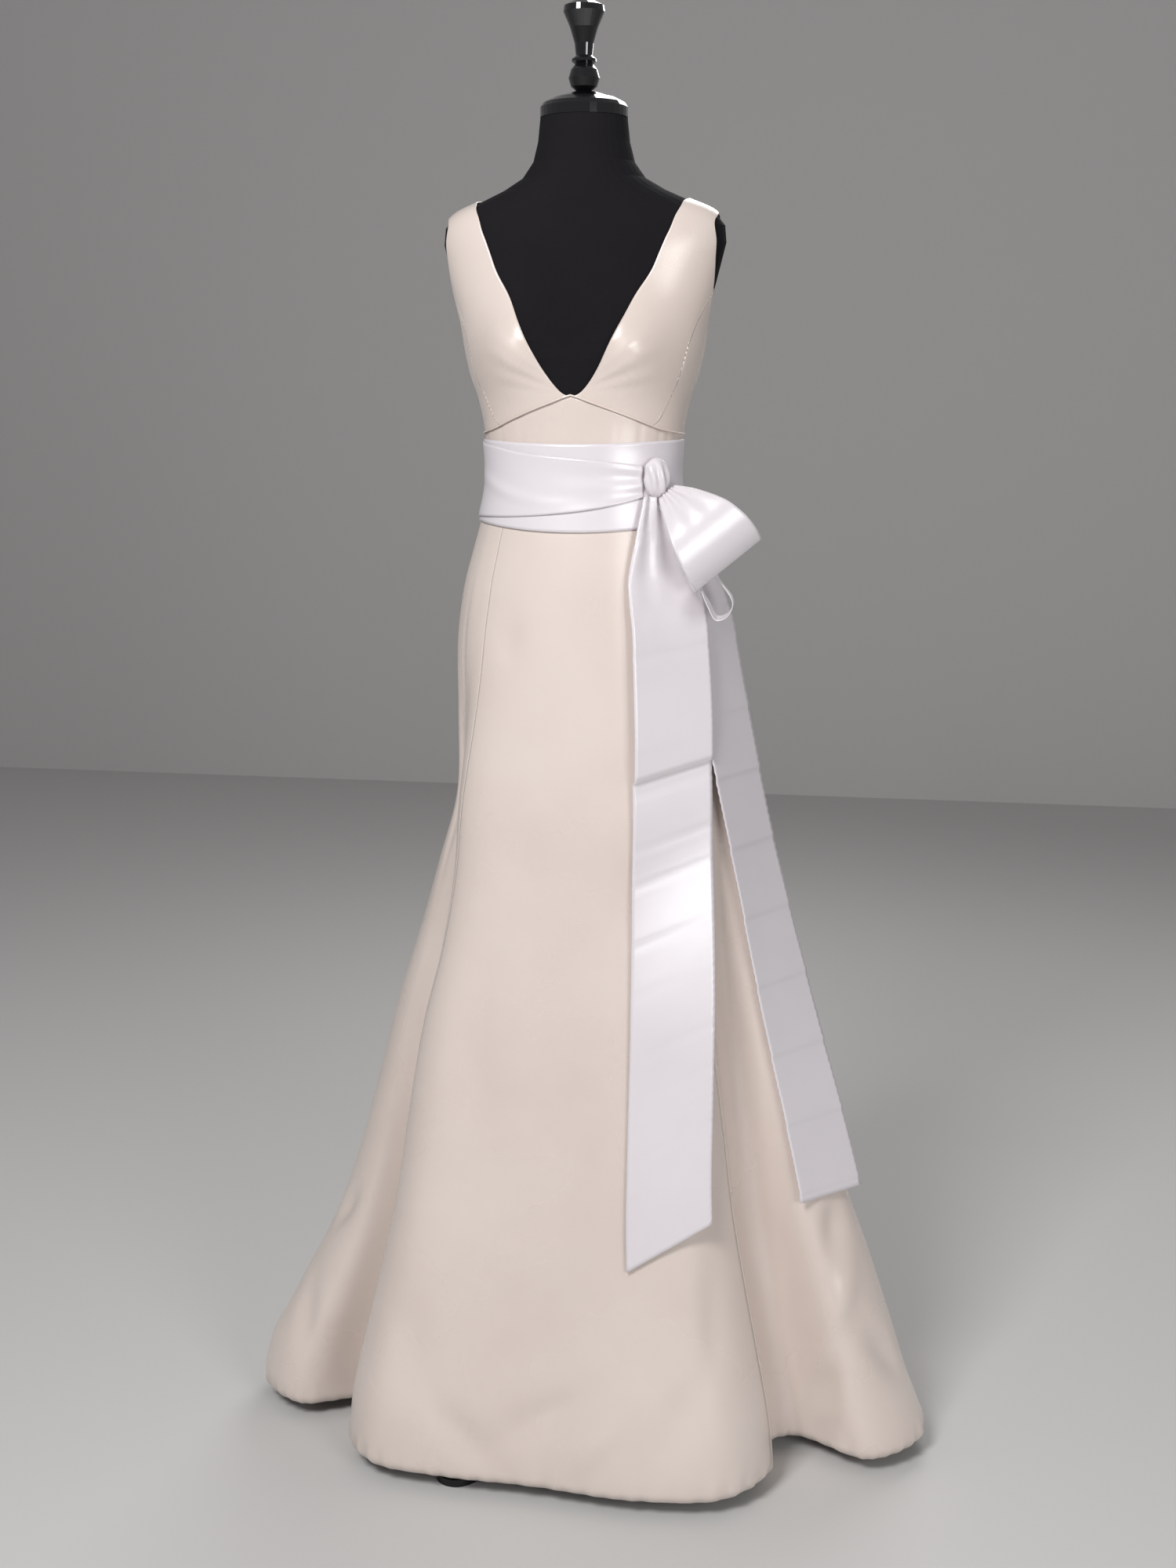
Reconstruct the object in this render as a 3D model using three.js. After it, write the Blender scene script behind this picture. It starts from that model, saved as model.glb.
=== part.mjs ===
// A sleeveless wedding dress on a limbless dress form: duchess satin panels, a wide ribbon sash
// tied in a bow at the wearer's left, and a form on a pole with a flat cross base.
// Millimetres, +Z up. The dress faces -Y, the wearer's left is +X, the pole stands on the origin.
import * as THREE from "three";
import { mergeVertices } from "three/addons/utils/BufferGeometryUtils.js";

// ---- driving sizes ------------------------------------------------------------------------
const clothWall = 1.6;        // satin with its backing
const ribbonWall = 1.0;
const fit = 0.8;              // cloth off the form
const layerGap = 0.5;         // one layer off the next
const sashGap = 1.4;          // the sash spans the waist, just off its hollow
const tailGap = 0.8;
const seamGap = 0.3;
const ribbonWidth = 106;
const waistSeam = 1285;
const sideTurn = 97;          // side seam, in degrees round from the centre front

const clothOut = fit + clothWall;
const bandOut = clothOut + sashGap + ribbonWall;
const wrapOut = bandOut + layerGap + ribbonWall;

const formBottom = 930;
const formTop = 1716;
const poleRadius = 14;
const baseReach = 242;
const baseThick = 10;

// ---- colours ------------------------------------------------------------------------------
const finish = (color, roughness, metalness = 0) =>
  new THREE.MeshStandardMaterial({ color, roughness, metalness });
const satin = finish(0xe9dcd3, 0.42);
const ribbonSatin = finish(0xf0e9ef, 0.38);
const jersey = finish(0x121113, 0.95);
const lacquer = finish(0x0b0b0d, 0.12);
const blackSteel = finish(0x141416, 0.35, 0.3);

// ---- reading tables -----------------------------------------------------------------------
// Value of a column at a place in a table whose rows run up or down in the key column.
function read(rows, key, place, column) {
  const up = rows[rows.length - 1][key] > rows[0][key] ? rows : [...rows].reverse();
  if (place <= up[0][key]) return up[0][column];
  const last = up.length - 1;
  if (place >= up[last][key]) return up[last][column];
  const i = up.findIndex((row) => row[key] > place) - 1;
  const slope = (k) => {
    const a = up[Math.max(k - 1, 0)];
    const b = up[Math.min(k + 1, last)];
    return (b[column] - a[column]) / (b[key] - a[key]);
  };
  const span = up[i + 1][key] - up[i][key];
  const u = (place - up[i][key]) / span;
  const rise = u * u * (3 - 2 * u);
  return up[i][column] * (1 - rise) + up[i + 1][column] * rise
    + span * u * (1 - u) * (slope(i) * (1 - u) - slope(i + 1) * u);
}

// ---- the figure ---------------------------------------------------------------------------
// Level sections of the dress form: half width, depth to the front and to the back.
const figure = [
  { z: 1716, side: 53, front: 53, back: 53 },
  { z: 1688, side: 56, front: 56, back: 56 },
  { z: 1662, side: 63, front: 60, back: 62 },
  { z: 1645, side: 76, front: 63, back: 68 },
  { z: 1632, side: 98, front: 65, back: 73 },
  { z: 1620, side: 125, front: 67, back: 77 },
  { z: 1606, side: 158, front: 69, back: 82 },
  { z: 1590, side: 174, front: 72, back: 87 },
  { z: 1570, side: 177, front: 76, back: 91 },
  { z: 1545, side: 171, front: 80, back: 95 },
  { z: 1510, side: 162, front: 85, back: 97 },
  { z: 1475, side: 153, front: 88, back: 95 },
  { z: 1440, side: 147, front: 89, back: 92 },
  { z: 1410, side: 140, front: 88, back: 90 },
  { z: 1385, side: 131, front: 86, back: 87 },
  { z: 1345, side: 123, front: 83, back: 83 },
  { z: 1285, side: 119, front: 82, back: 80 },
  { z: 1235, side: 128, front: 88, back: 88 },
  { z: 1206, side: 136, front: 92, back: 96 },
  { z: 1156, side: 150, front: 98, back: 109 },
  { z: 1108, side: 158, front: 102, back: 118 },
  { z: 1067, side: 161, front: 104, back: 122 },
  { z: 1000, side: 161, front: 104, back: 120 },
  { z: 880, side: 161, front: 104, back: 116 },
  { z: 20, side: 161, front: 104, back: 116 },
];
const cup = { z: 1442, x: 74, reach: 46, rise: 44, depth: 25 };
const formCupShare = 0.84;    // the form's bust is a little flatter than the cups

const radians = THREE.MathUtils.degToRad;
const bell = (distance, reach) => Math.exp(-((distance / reach) ** 2));

function figureSpot(turn, z, cupShare) {
  const s = Math.sin(radians(turn));
  const c = Math.cos(radians(turn));
  const x = read(figure, "z", z, "side") * s;
  const depth = read(figure, "z", z, c > 0 ? "front" : "back");
  const bust = bell(Math.abs(x) - cup.x, cup.reach) * bell(z - cup.z, cup.rise);
  const swell = c > 0 ? cupShare * cup.depth * bust * Math.min(1, c * 2.5) : 0;
  return new THREE.Vector3(x, -depth * c - swell, z);
}

// A point on the figure moved out along its normal.
function onFigure(turn, z, out, cupShare = 1) {
  const step = 0.5;
  const across = figureSpot(turn + step, z, cupShare).sub(figureSpot(turn - step, z, cupShare));
  const up = figureSpot(turn, z + step, cupShare).sub(figureSpot(turn, z - step, cupShare));
  const normal = across.cross(up).normalize();
  return { point: figureSpot(turn, z, cupShare).addScaledVector(normal, out), normal };
}

// ---- solids from grids --------------------------------------------------------------------
function solid(name, positions, triangles, material) {
  const geometry = new THREE.BufferGeometry();
  geometry.setAttribute("position", new THREE.Float32BufferAttribute(positions, 3));
  geometry.setIndex(triangles);
  geometry.computeVertexNormals();
  const mesh = new THREE.Mesh(geometry, material);
  mesh.name = name;
  return mesh;
}

// A wall from a grid of outer points with normals: rows run up, columns run to the wearer's left.
function wall(name, grid, thickness, material) {
  const rows = grid.length;
  const cols = grid[0].length;
  const positions = [];
  for (const depth of [0, thickness]) {
    for (const row of grid) {
      for (const { point, normal } of row) {
        positions.push(...point.clone().addScaledVector(normal, -depth));
      }
    }
  }
  const outer = (i, j) => i * cols + j;
  const inner = (i, j) => rows * cols + i * cols + j;
  const triangles = [];
  const quad = (a, b, c, d) => triangles.push(a, b, c, a, c, d);
  for (let i = 0; i < rows - 1; i++) {
    for (let j = 0; j < cols - 1; j++) {
      quad(outer(i, j), outer(i, j + 1), outer(i + 1, j + 1), outer(i + 1, j));
      quad(inner(i, j), inner(i + 1, j), inner(i + 1, j + 1), inner(i, j + 1));
    }
  }
  for (let j = 0; j < cols - 1; j++) {
    quad(inner(0, j), inner(0, j + 1), outer(0, j + 1), outer(0, j));
    quad(outer(rows - 1, j), outer(rows - 1, j + 1), inner(rows - 1, j + 1), inner(rows - 1, j));
  }
  for (let i = 0; i < rows - 1; i++) {
    quad(inner(i, 0), outer(i, 0), outer(i + 1, 0), inner(i + 1, 0));
    quad(outer(i, cols - 1), inner(i, cols - 1), inner(i + 1, cols - 1), outer(i + 1, cols - 1));
  }
  return solid(name, positions, triangles, material);
}

// Draws the edges of a grid back by half a seam, so that neighbours keep the seam's gap.
function trim(grid) {
  const back = (end, next) => {
    const pull = next.point.clone().sub(end.point).setLength(seamGap / 2);
    return { point: end.point.clone().add(pull), normal: end.normal };
  };
  const across = grid.map((row) => {
    const trimmed = [...row];
    trimmed[0] = back(row[0], row[1]);
    trimmed[row.length - 1] = back(row[row.length - 1], row[row.length - 2]);
    return trimmed;
  });
  const last = across.length - 1;
  const ends = [...across];
  ends[0] = across[0].map((spot, j) => back(spot, across[1][j]));
  ends[last] = across[last].map((spot, j) => back(spot, across[last - 1][j]));
  return ends;
}

const mirrorX = new THREE.Vector3(-1, 1, 1);
const mirrored = (grid) => grid.map((row) => [...row].reverse().map(({ point, normal }) => (
  { point: point.clone().multiply(mirrorX), normal: normal.clone().multiply(mirrorX) })));
const mix = (a, b, u) => a + (b - a) * u;
const steps = (count) => Array.from({ length: count + 1 }, (_, i) => i / count);

// ---- bodice -------------------------------------------------------------------------------
// Edges of the bodice pieces on the wearer's left, in degrees round and height.
const neckline = [
  { turn: 0.3, z: 1387 }, { turn: 15.5, z: 1445 }, { turn: 24.3, z: 1485 },
  { turn: 28.4, z: 1510 }, { turn: 33.8, z: 1535 }, { turn: 38.7, z: 1575 },
  { turn: 46, z: 1599 }, { turn: 60, z: 1612 }, { turn: 90, z: 1619 },
];
const princessSeam = [
  { turn: 48, z: 1352 }, { turn: 57, z: 1388 }, { turn: 62, z: 1417 },
  { turn: 64.5, z: 1453 }, { turn: 69, z: 1478 }, { turn: 80, z: 1514 },
];
const frontArmhole = [
  { turn: 80, z: 1514 }, { turn: 74, z: 1540 }, { turn: 69, z: 1567 },
  { turn: 69, z: 1590 }, { turn: 90, z: 1604 },
];
const sideSeam = [{ turn: sideTurn, z: 1340 }, { turn: sideTurn, z: 1440 }];
const backArmhole = [
  { turn: sideTurn, z: 1440 }, { turn: 106, z: 1470 }, { turn: 115, z: 1515 },
  { turn: 119, z: 1560 }, { turn: 113, z: 1590 }, { turn: 90, z: 1604 },
];
const centreBack = [{ turn: 180, z: 1338 }, { turn: 180, z: 1425 }];
const backNeckline = [
  { turn: 180, z: 1425 }, { turn: 165, z: 1472 }, { turn: 151, z: 1520 },
  { turn: 142, z: 1568 }, { turn: 133, z: 1597 }, { turn: 118, z: 1612 }, { turn: 90, z: 1619 },
];
const midriffSeam = [
  { turn: 0, z: 1387 }, { turn: 43, z: 1354 }, { turn: 57, z: 1346 },
  { turn: 90, z: 1340 }, { turn: 180, z: 1338 },
];
const armholeScoop = 9;

// A place a share of the way along an edge, by its length.
function along(edge, share) {
  const perDegree = 2.4;
  const lengths = edge.slice(1).map((row, i) =>
    Math.hypot((row.turn - edge[i].turn) * perDegree, row.z - edge[i].z));
  let left = share * lengths.reduce((sum, length) => sum + length, 0);
  let i = 0;
  while (i < lengths.length - 1 && left > lengths[i]) left -= lengths[i++];
  const u = Math.min(1, left / lengths[i]);
  return { turn: mix(edge[i].turn, edge[i + 1].turn, u), z: mix(edge[i].z, edge[i + 1].z, u) };
}
const sampled = (edge, count) => steps(count).map((share) => along(edge, share));

// Fills the space between two edges, given as lists of as many places; scoop lowers the top.
function between(left, right, cols, out, scoop = 0) {
  return left.map((from, i) => steps(cols).map((u) => {
    const to = right[i];
    const dip = scoop * Math.sin(Math.PI * u) * (i / (left.length - 1)) ** 2;
    return onFigure(mix(from.turn, to.turn, u), mix(from.z, to.z, u) - dip, out);
  }));
}

function bodice() {
  const seamRows = 6;
  const strapRows = 7;
  const sideRows = 3;
  const princess = sampled(princessSeam, seamRows);
  const frontOuter = [...princess, ...sampled(frontArmhole, strapRows).slice(1)];
  const front = between(sampled(neckline, seamRows + strapRows), frontOuter, 8, clothOut);
  const side = between(princess, sampled([sideSeam[0], sideSeam[1]], seamRows), 4, clothOut,
    armholeScoop);
  const backOuter = [...sampled(sideSeam, sideRows), ...sampled(backArmhole, 8).slice(1)];
  const backInner = [...sampled(centreBack, sideRows), ...sampled(backNeckline, 8).slice(1)];
  const back = between(backOuter, backInner, 10, clothOut);
  return Object.entries({ front, side, back }).flatMap(([piece, grid]) => [
    wall(`bodice_${piece}_left`, trim(grid), clothWall, satin),
    wall(`bodice_${piece}_right`, mirrored(trim(grid)), clothWall, satin),
  ]);
}

// ---- midriff ------------------------------------------------------------------------------
function midriffGrid(from, to, cols) {
  return steps(4).map((v) => steps(cols).map((u) => {
    const turn = mix(from, to, u);
    const top = read(midriffSeam, "turn", Math.abs(turn), "z");
    return onFigure(turn, mix(waistSeam, top, v), clothOut);
  }));
}

// The seam's cord, laid on the panels a seam's gap off them.
function midriffPiping() {
  const radius = 1.2;
  const reach = 88;
  const path = steps(26).map((u) => {
    const turn = mix(-reach, reach, u);
    const seam = read(midriffSeam, "turn", Math.abs(turn), "z");
    return onFigure(turn, seam, clothOut + layerGap + radius).point;
  });
  const corners = steps(6).slice(0, 6).map((u) => new THREE.Vector2(radius, 0)
    .rotateAround(new THREE.Vector2(), u * Math.PI * 2));
  const section = new THREE.Shape(corners);
  const cord = new THREE.ExtrudeGeometry(section, {
    steps: 34, bevelEnabled: false, extrudePath: new THREE.CatmullRomCurve3(path),
  });
  const mesh = new THREE.Mesh(cord, satin);
  mesh.name = "midriff_piping";
  return mesh;
}

function midriff() {
  const back = trim(midriffGrid(sideTurn, 180, 10));
  return [
    wall("midriff_front", trim(midriffGrid(-sideTurn, sideTurn, 24)), clothWall, satin),
    wall("midriff_back_left", back, clothWall, satin),
    wall("midriff_back_right", mirrored(back), clothWall, satin),
    midriffPiping(),
  ];
}

// ---- skirt --------------------------------------------------------------------------------
// How far each kind of fold has gone from the hips to its place at the hem, by height.
const flare = [
  { z: 1130, front: 0, left: 0, right: 0, back: 0 },
  { z: 1060, front: 0.02, left: 0.025, right: 0, back: 0 },
  { z: 990, front: 0.07, left: 0.075, right: 0, back: 0 },
  { z: 885, front: 0.16, left: 0.155, right: 0.01, back: 0.03 },
  { z: 790, front: 0.21, left: 0.225, right: 0.1, back: 0.1 },
  { z: 690, front: 0.31, left: 0.295, right: 0.2, back: 0.19 },
  { z: 600, front: 0.435, left: 0.375, right: 0.3, back: 0.28 },
  { z: 490, front: 0.54, left: 0.49, right: 0.4, back: 0.4 },
  { z: 370, front: 0.64, left: 0.61, right: 0.515, back: 0.54 },
  { z: 280, front: 0.745, left: 0.72, right: 0.63, back: 0.66 },
  { z: 190, front: 0.86, left: 0.82, right: 0.79, back: 0.78 },
  { z: 110, front: 0.96, left: 0.905, right: 0.94, back: 0.89 },
  { z: 50, front: 1, left: 0.98, right: 1, back: 0.97 },
  { z: 20, front: 1, left: 1, right: 1, back: 1 },
];
// Folds round the hem: where each leaves the hips, its plan place at the hem, and its flare.
const folds = [
  { turn: -180, x: 0, y: 486, flare: "back" },
  { turn: -169, x: -92, y: 522, flare: "back" },
  { turn: -158, x: -178, y: 462, flare: "back" },
  { turn: -147, x: -262, y: 448, flare: "back" },
  { turn: -136, x: -330, y: 338, flare: "back" },
  { turn: -124, x: -306, y: 236, flare: "back" },
  { turn: -113, x: -352, y: 178, flare: "right" },
  { turn: -101, x: -436, y: 92, flare: "right" },
  { turn: -90, x: -455, y: -4, flare: "right" },
  { turn: -76, x: -388, y: -62, flare: "right" },
  { turn: -60, x: -300, y: -30, flare: "right" },
  { turn: -50, x: -272, y: -66, flare: "front" },
  { turn: -43, x: -290, y: -140, flare: "front" },
  { turn: -33, x: -246, y: -196, flare: "front" },
  { turn: -18, x: -150, y: -212, flare: "front" },
  { turn: 0, x: -24, y: -215, flare: "front" },
  { turn: 18, x: 102, y: -225, flare: "front" },
  { turn: 33, x: 217, y: -201, flare: "front" },
  { turn: 43, x: 268, y: -124, flare: "front" },
  { turn: 50, x: 254, y: -60, flare: "front" },
  { turn: 60, x: 288, y: -26, flare: "left" },
  { turn: 76, x: 390, y: -70, flare: "left" },
  { turn: 90, x: 460, y: 2, flare: "left" },
  { turn: 101, x: 436, y: 96, flare: "left" },
  { turn: 113, x: 348, y: 182, flare: "left" },
  { turn: 124, x: 300, y: 244, flare: "back" },
  { turn: 136, x: 318, y: 342, flare: "back" },
  { turn: 147, x: 256, y: 440, flare: "back" },
  { turn: 158, x: 170, y: 452, flare: "back" },
  { turn: 169, x: 86, y: 514, flare: "back" },
];
const perFold = 2;            // columns of the wall from one fold to the next
// Heights of the skirt's sections, and how far the hem turns under.
const levels = [
  { z: 20, under: 9 }, { z: 30, under: 2 }, { z: 55, under: 0 }, { z: 110, under: 0 },
  { z: 190, under: 0 }, { z: 290, under: 0 }, { z: 400, under: 0 }, { z: 510, under: 0 },
  { z: 620, under: 0 }, { z: 730, under: 0 }, { z: 835, under: 0 }, { z: 930, under: 0 },
  { z: 1020, under: 0 }, { z: 1100, under: 0 }, { z: 1170, under: 0 }, { z: 1225, under: 0 },
  { z: 1255, under: 0 },
  { z: waistSeam, under: 0 },
];

// One level section of the skirt's outer face: a closed curve through its folds.
function skirtCurve(z) {
  const spots = folds.map((fold) => {
    const hip = onFigure(fold.turn, Math.max(z, 880), clothOut).point.setZ(z);
    const share = read(flare, "z", z, fold.flare);
    return hip.lerp(new THREE.Vector3(fold.x, fold.y, z), share);
  });
  return new THREE.CatmullRomCurve3(spots, true, "centripetal");
}

// The whole skirt: a ring of points at each level, from the centre back round the right side.
function skirtRings() {
  const count = folds.length * perFold;
  const rings = levels.map(({ z }) => {
    const curve = skirtCurve(z);
    return steps(count).slice(0, count).map((u) => curve.getPoint(u).setZ(z));
  });
  return rings.map((ring, i) => ring.map((point, j) => {
    const across = ring[(j + 1) % count].clone().sub(ring[(j + count - 1) % count]);
    const above = rings[Math.min(i + 1, rings.length - 1)][j];
    const below = rings[Math.max(i - 1, 0)][j];
    const normal = across.cross(above.clone().sub(below)).normalize();
    const inward = normal.clone().setZ(0).setLength(-levels[i].under);
    return { point: point.clone().add(inward), normal };
  }));
}

const skirtOuter = skirtRings();
const ringIndex = (turn) => {
  const k = folds.findIndex((fold) => fold.turn >= turn);
  return (k < 0 ? folds.length : k) * perFold;
};

function skirtPanel(name, from, to) {
  const count = skirtOuter[0].length;
  const grid = skirtOuter.map((ring) => {
    const row = [];
    for (let j = from; j <= to; j++) row.push(ring[j % count]);
    return row;
  });
  return wall(name, trim(grid), clothWall, satin);
}

function skirt() {
  const seams = {
    back: ringIndex(-180), backRight: ringIndex(-147), sideRight: ringIndex(-101),
    frontRight: ringIndex(-43), frontLeft: ringIndex(43), sideLeft: ringIndex(101),
    backLeft: ringIndex(147), end: folds.length * perFold,
  };
  return [
    skirtPanel("skirt_back_right", seams.back, seams.backRight),
    skirtPanel("skirt_side_back_right", seams.backRight, seams.sideRight),
    skirtPanel("skirt_side_front_right", seams.sideRight, seams.frontRight),
    skirtPanel("skirt_front", seams.frontRight, seams.frontLeft),
    skirtPanel("skirt_side_front_left", seams.frontLeft, seams.sideLeft),
    skirtPanel("skirt_side_back_left", seams.sideLeft, seams.backLeft),
    skirtPanel("skirt_back_left", seams.backLeft, seams.end),
  ];
}

// ---- sash ---------------------------------------------------------------------------------
const band = { frontTop: 1329, sideTop: 1334, frontBottom: 1222, sideBottom: 1232 };
const knotTurn = 50;
// The upper layer narrows from the right side seam to the knot.
const wrapEdges = [
  { turn: -sideTurn, top: 1332, bottom: 1236 }, { turn: -55, top: 1326, bottom: 1238 },
  { turn: -30, top: 1318, bottom: 1240 }, { turn: 0, top: 1312, bottom: 1246 },
  { turn: 25, top: 1307, bottom: 1255 }, { turn: 43, top: 1303, bottom: 1264 },
];

function ribbonGrid(from, to, cols, rows, out, edges) {
  return steps(rows).map((v) => steps(cols).map((u) => {
    const turn = mix(from, to, u);
    const { top, bottom } = edges(turn);
    return onFigure(turn, mix(bottom, top, v), out);
  }));
}

function sash() {
  const bandEdges = (turn) => {
    const lift = Math.sin(radians(Math.min(Math.abs(turn), 90))) ** 2;
    return {
      top: mix(band.frontTop, band.sideTop, lift),
      bottom: mix(band.frontBottom, band.sideBottom, lift),
    };
  };
  const wrap = (turn) => ({
    top: read(wrapEdges, "turn", turn, "top"), bottom: read(wrapEdges, "turn", turn, "bottom"),
  });
  const front = ribbonGrid(-sideTurn, sideTurn, 26, 4, bandOut, bandEdges);
  const back = ribbonGrid(sideTurn, 360 - sideTurn, 20, 4, bandOut, bandEdges);
  const upper = ribbonGrid(-sideTurn, 43, 20, 4, wrapOut, wrap);
  return [
    wall("sash_band_front", trim(front), ribbonWall, ribbonSatin),
    wall("sash_band_back", trim(back), ribbonWall, ribbonSatin),
    wall("sash_wrap", trim(upper), ribbonWall, ribbonSatin),
  ];
}

// ---- tails --------------------------------------------------------------------------------
// A tail lies flat on the skirt: yaw is the way it faces, at is its place along its own face.
const sideTail = [
  { z: 1255, yaw: 50, at: 48, width: 34 }, { z: 1170, yaw: 58, at: 57, width: 78 },
  { z: 1100, yaw: 63, at: 58, width: ribbonWidth }, { z: 835, yaw: 65, at: 80, width: ribbonWidth },
  { z: 620, yaw: 57, at: 135, width: ribbonWidth }, { z: 370, yaw: 47, at: 204, width: ribbonWidth },
];
const frontTail = [
  { z: 1250, yaw: 36, at: 38, width: 44 }, { z: 1170, yaw: 37, at: 44, width: 92 },
  { z: 1100, yaw: 38, at: 46, width: ribbonWidth }, { z: 835, yaw: 30, at: 62, width: ribbonWidth },
  { z: 620, yaw: 19, at: 84, width: ribbonWidth }, { z: 400, yaw: 11, at: 103, width: ribbonWidth },
  { z: 290, yaw: 11, at: 104, width: ribbonWidth },
];

// One row of a tail at a level: a straight line set off by the gap from whatever it lies on.
function tailRow(table, z, under, lift, cols) {
  const yaw = radians(read(table, "z", z, "yaw"));
  const width = read(table, "z", z, "width");
  const at = read(table, "z", z, "at");
  const face = new THREE.Vector3(Math.sin(yaw), -Math.cos(yaw), 0);
  const run = new THREE.Vector3(Math.cos(yaw), Math.sin(yaw), 0);
  const near = under.filter((spot) => spot.dot(face) > 0
    && Math.abs(spot.dot(run) - at) < width / 2 + 8);
  const reach = Math.max(...near.map((spot) => spot.dot(face)));
  return steps(cols).map((u) => ({
    point: run.clone().multiplyScalar(at + (u - 0.5) * width)
      .addScaledVector(face, reach + tailGap + lift + ribbonWall).setZ(z),
    normal: face,
  }));
}

// A tail down the skirt, cut off between the heights given for its two edges.
function tailGrid(table, under, cols, ends, lift) {
  const top = table[0].z;
  const heights = [top, ...levels.map((level) => level.z).filter((z) => z < top).reverse()];
  const rows = heights.filter((z) => z > Math.min(...ends) - 120)
    .map((z) => tailRow(table, z, under(z), lift(z), cols));
  const last = rows.findIndex((row) => row[0].point.z < Math.max(...ends));
  const cut = rows[last].map((spot, j) => {
    const above = rows[last - 1][j].point;
    const end = mix(ends[0], ends[1], j / cols);
    const share = (above.z - end) / (above.z - spot.point.z);
    return { point: above.clone().lerp(spot.point, share), normal: spot.normal };
  });
  return [...rows.slice(0, last), cut].reverse();
}

// Outer points of the skirt at any height on its straight rulings.
function skirtSection(z) {
  const i = Math.max(1, levels.findIndex((level) => level.z >= z));
  const u = (z - levels[i - 1].z) / (levels[i].z - levels[i - 1].z);
  const ring = skirtOuter[i].map((spot, j) =>
    skirtOuter[i - 1][j].point.clone().lerp(spot.point, u));
  return ring.flatMap((point, j) => steps(4).map((v) =>
    point.clone().lerp(ring[(j + 1) % ring.length], v)));
}

function tails() {
  const overSash = (z) => (z > 1200 ? wrapOut - clothOut : 0);
  const sideGrid = tailGrid(sideTail, skirtSection, 3, [372, 372], overSash);
  const sideRows = new Map(sideGrid.map((row) => [Math.round(row[0].point.z), row]));
  const underFront = (z) => {
    const lower = sideRows.get(Math.round(z));
    const points = skirtSection(z);
    return lower ? [...points, ...lower.map((spot) => spot.point)] : points;
  };
  const frontGrid = tailGrid(frontTail, underFront, 4, [316, 380], overSash);
  return [
    wall("tail_side", sideGrid, ribbonWall, ribbonSatin),
    wall("tail_front", frontGrid, ribbonWall, ribbonSatin),
  ];
}

// ---- bow ----------------------------------------------------------------------------------
// The bow's own frame at the knot: right, up and out from the body.
const bowYaw = radians(24);
const bowOut = new THREE.Vector3(Math.sin(bowYaw), -Math.cos(bowYaw), 0);
const bowRight = new THREE.Vector3(Math.cos(bowYaw), Math.sin(bowYaw), 0);
const knotSize = { across: 15, deep: 11, tall: 24 };
const knotCentre = onFigure(knotTurn, 1288, wrapOut - layerGap + knotSize.deep - 0.9).point;
// Loop sections, measured from the knot: along the loop, out from the body, and half width.
const largeLoop = [
  { along: 20.4, out: 5.5, half: 13 }, { along: 38, out: 34, half: 28 },
  { along: 64, out: 56, half: 43 }, { along: 92, out: 61, half: 50 },
  { along: 118, out: 54, half: 52 }, { along: 131, out: 43, half: 52 },
  { along: 120, out: 33, half: 50 }, { along: 92, out: 33, half: 46 },
  { along: 62, out: 31, half: 37 }, { along: 40, out: 20, half: 26 },
  { along: 21.6, out: 1.5, half: 13 },
];
const largeLoopDrop = radians(-53);
const smallLoop = [
  { right: 7, up: -23.5, out: -5, half: 3 }, { right: 28, up: -62, out: 9, half: 6 },
  { right: 58, up: -96, out: 19, half: 8 }, { right: 74, up: -122, out: 22, half: 8 },
  { right: 86, up: -148, out: 44, half: 20 }, { right: 76, up: -163, out: 54, half: 28 },
  { right: 62, up: -167, out: 54, half: 28 }, { right: 52, up: -150, out: 50, half: 26 },
  { right: 49, up: -128, out: 22, half: 8 }, { right: 42, up: -98, out: 19, half: 8 },
  { right: 20, up: -68, out: 9, half: 6 }, { right: 0, up: -25.5, out: -5, half: 3 },
];

// A ribbon bent along a smooth path: each section has a centre and half a width across.
function ribbonLoop(name, sections, count, cols) {
  const centres = new THREE.CatmullRomCurve3(sections.map((row) => row.centre));
  const halves = new THREE.CatmullRomCurve3(sections.map((row) => row.across));
  const grid = steps(count).map((u) => {
    const across = halves.getPoint(u);
    const normal = across.clone().cross(centres.getTangent(u)).normalize();
    return steps(cols).map((v) => (
      { point: centres.getPoint(u).addScaledVector(across, 2 * v - 1), normal }));
  });
  return wall(name, grid, ribbonWall, ribbonSatin);
}

function bow() {
  const knot = new THREE.SphereGeometry(1, 16, 12);
  knot.deleteAttribute("normal");
  knot.deleteAttribute("uv");
  const knotMesh = new THREE.Mesh(mergeVertices(knot), ribbonSatin);
  knotMesh.geometry.computeVertexNormals();
  knotMesh.geometry.rotateX(Math.PI / 2);
  knotMesh.geometry.scale(knotSize.across, knotSize.deep, knotSize.tall);
  knotMesh.geometry.rotateZ(radians(knotTurn - 14));
  knotMesh.position.copy(knotCentre);
  knotMesh.name = "sash_knot";

  const down = bowRight.clone().multiplyScalar(Math.cos(largeLoopDrop))
    .setZ(Math.sin(largeLoopDrop));
  const across = down.clone().cross(bowOut).normalize();
  const large = largeLoop.map((row) => ({
    centre: knotCentre.clone().addScaledVector(down, row.along).addScaledVector(bowOut, row.out),
    across: across.clone().multiplyScalar(row.half),
  }));
  const hang = bowOut.clone().multiplyScalar(0.94).addScaledVector(bowRight, -0.34).normalize();
  const small = smallLoop.map((row) => ({
    centre: knotCentre.clone().addScaledVector(bowRight, row.right)
      .addScaledVector(bowOut, row.out).setZ(knotCentre.z + row.up),
    across: hang.clone().multiplyScalar(row.half),
  }));
  return [
    knotMesh,
    ribbonLoop("bow_loop_large", large, 20, 4),
    ribbonLoop("bow_loop_small", small, 18, 3),
  ];
}

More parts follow.
